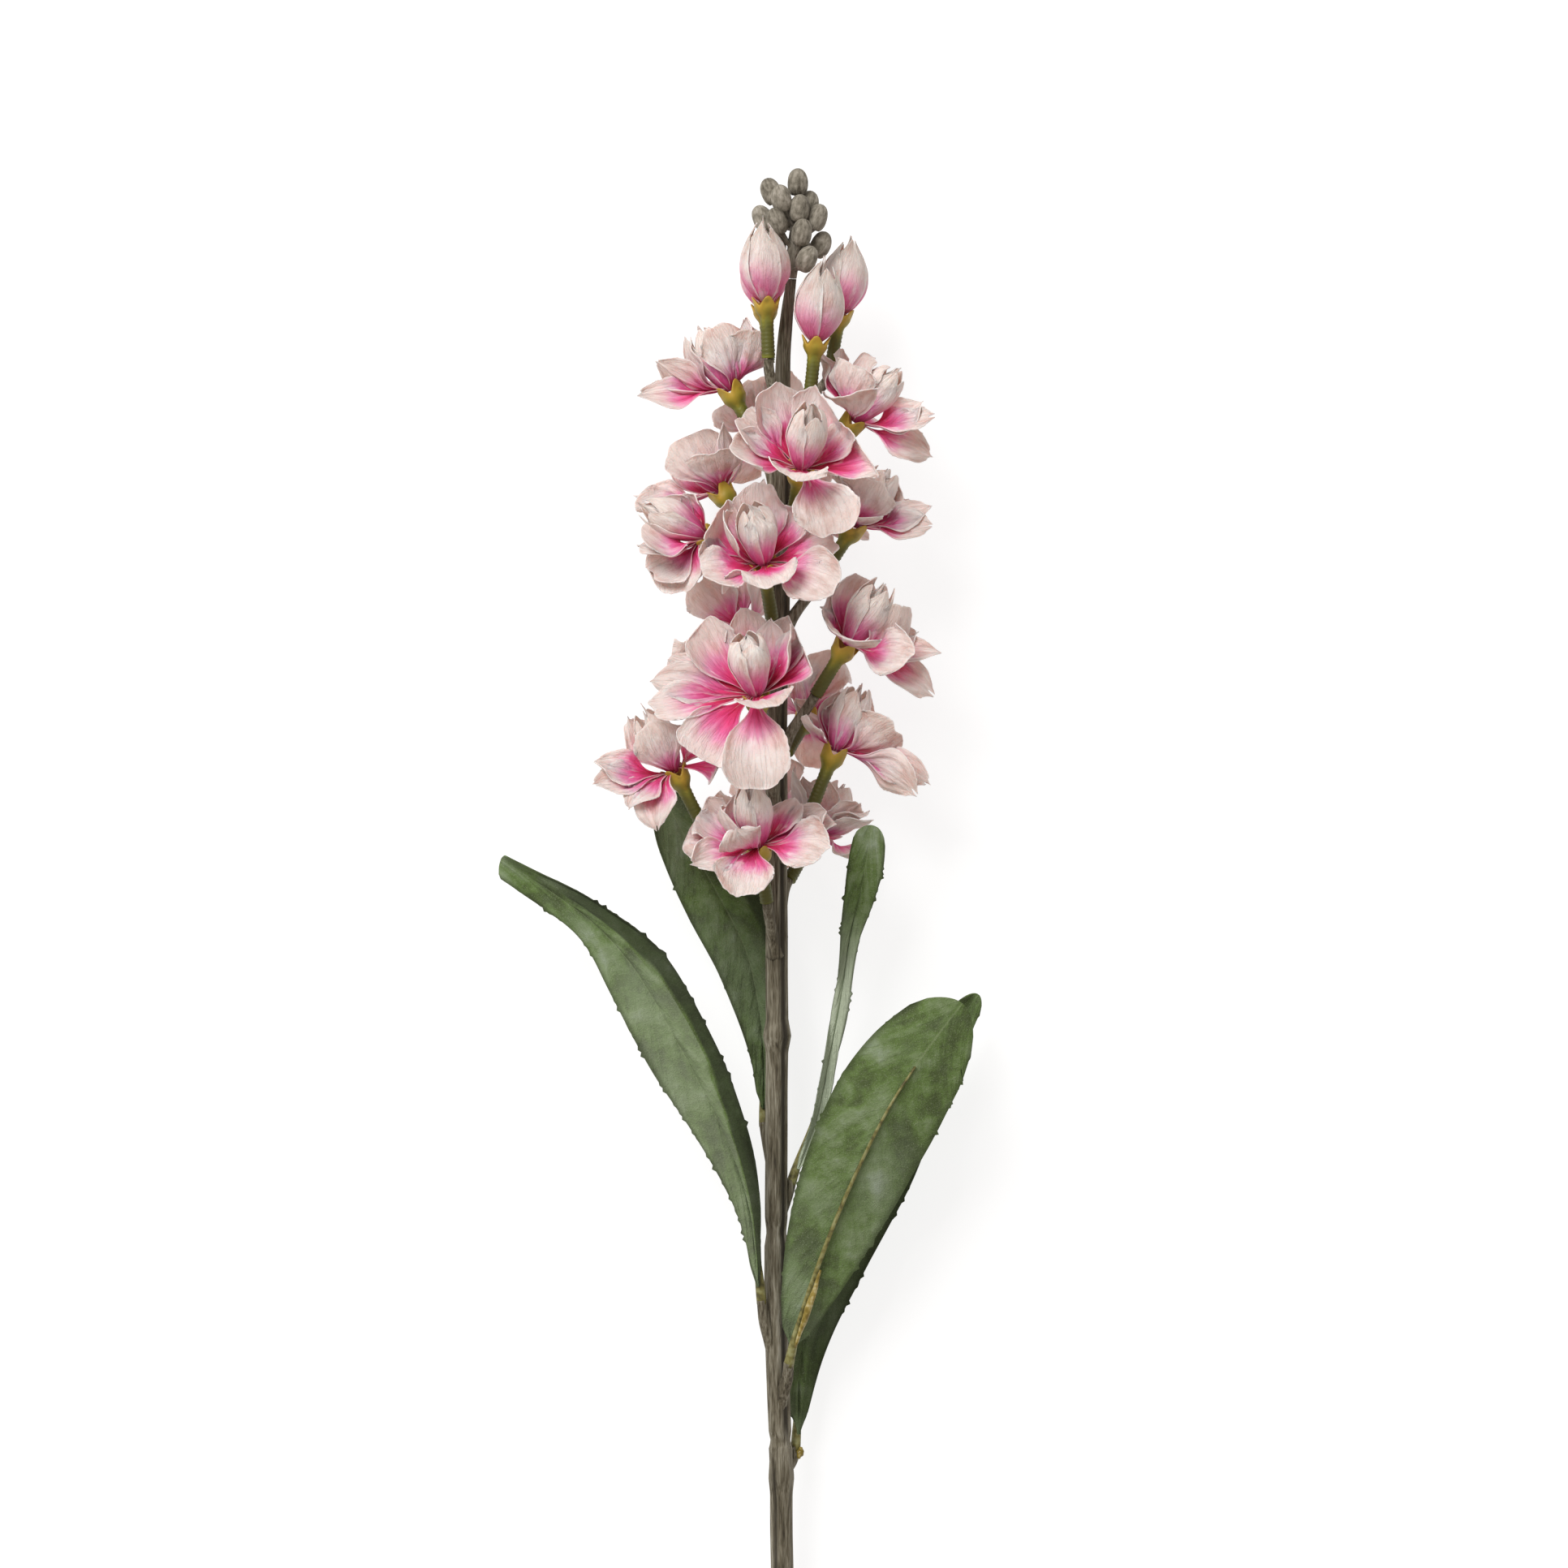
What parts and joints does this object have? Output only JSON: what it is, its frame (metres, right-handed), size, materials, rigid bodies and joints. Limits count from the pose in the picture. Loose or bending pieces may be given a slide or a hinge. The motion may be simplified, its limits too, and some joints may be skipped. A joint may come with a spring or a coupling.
{
  "type": "stock flower stem",
  "caption": "Cut stem of stock lying on its back: open petalled blooms, pink buds, a cluster of green tip buds and ribbed strap leaves on one fluted stem.",
  "frame": {"origin": "under the middle of the whole stem's box, on the surface that it lies on", "axes": "+Y runs up the stem from its cut end to its tip, +Z points away from the surface, out of the side that faces the viewer, and +X is to the right of that side"},
  "size_m": [0.1516, 0.5602, 0.0717],
  "materials": {
    "stem": "grey-brown fibrous moulded stem, matt",
    "tip": "dusty grey-green buds, matt",
    "calyx": "olive to yellow-green moulded plastic, satin",
    "petals": "fine woven petals, cream shaded to deep pink at the root, matt",
    "leaf": "dusty grey-green woven leaf, matt",
    "rib": "yellow-brown moulded rib, matt"
  },
  "bodies": {
    "root": {"stem": "stem", "tip_buds": "tip", "leaf_1": "leaf", "leaf_2": "leaf", "leaf_3": "leaf", "leaf_4": "leaf", "leaf_5": "leaf", "leaf_rib_1": "rib", "leaf_rib_2": "rib", "leaf_rib_3": "rib", "leaf_rib_4": "rib", "leaf_rib_5": "rib", "bloom_01": "petals", "bloom_02": "petals", "bloom_03": "petals", "bloom_04": "petals", "bloom_05": "petals", "bloom_06": "petals", "bloom_07": "petals", "bloom_08": "petals", "bloom_09": "petals", "bloom_10": "petals", "bloom_11": "petals", "bloom_12": "petals", "bloom_13": "petals", "bloom_14": "petals", "bloom_15": "petals", "bloom_16": "petals", "bloom_17": "petals", "bloom_18": "petals", "bloom_calyx_01": "calyx", "bloom_calyx_02": "calyx", "bloom_calyx_03": "calyx", "bloom_calyx_04": "calyx", "bloom_calyx_05": "calyx", "bloom_calyx_06": "calyx", "bloom_calyx_07": "calyx", "bloom_calyx_08": "calyx", "bloom_calyx_09": "calyx", "bloom_calyx_10": "calyx", "bloom_calyx_11": "calyx", "bloom_calyx_12": "calyx", "bloom_calyx_13": "calyx", "bloom_calyx_14": "calyx", "bloom_calyx_15": "calyx", "bloom_calyx_16": "calyx", "bloom_calyx_17": "calyx", "bloom_calyx_18": "calyx", "bud_1": "petals", "bud_2": "petals", "bud_3": "petals", "bud_4": "petals", "bud_calyx_1": "calyx", "bud_calyx_2": "calyx", "bud_calyx_3": "calyx", "bud_calyx_4": "calyx"}
  },
  "joints": []
}
